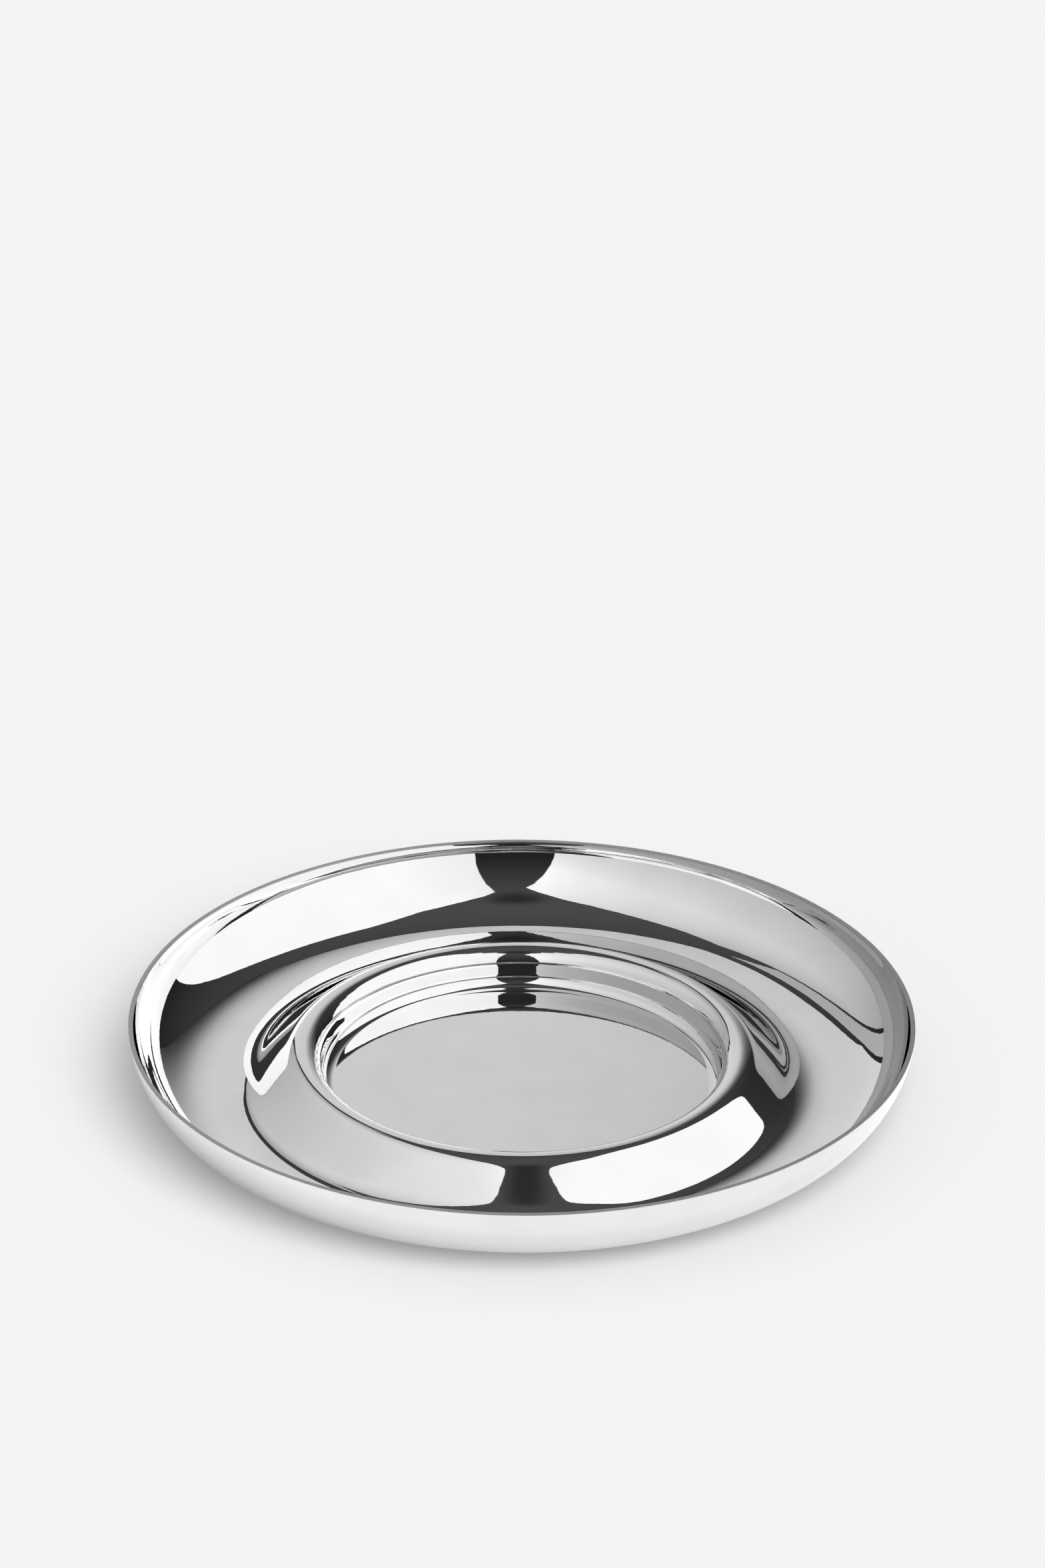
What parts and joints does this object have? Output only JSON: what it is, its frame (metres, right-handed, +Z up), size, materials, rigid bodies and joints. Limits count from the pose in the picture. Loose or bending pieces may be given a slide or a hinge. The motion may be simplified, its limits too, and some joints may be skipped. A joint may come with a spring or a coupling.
{
  "type": "saucer",
  "caption": "Round polished metal saucer with an upright curved rim, a raised ring and a flat-floored well that keeps a cup in place.",
  "frame": {"origin": "centre of the face that the saucer rests on", "axes": "+Z up along the saucer's axis of revolution; X and Y are any two directions across the table, with -Y towards the viewer of the picture"},
  "size_m": [0.15, 0.15, 0.015],
  "materials": {
    "dish_metal": "polished",
    "cup_metal": "polished"
  },
  "bodies": {
    "root": {"dish": "dish_metal", "well_cup": "cup_metal"}
  },
  "joints": []
}
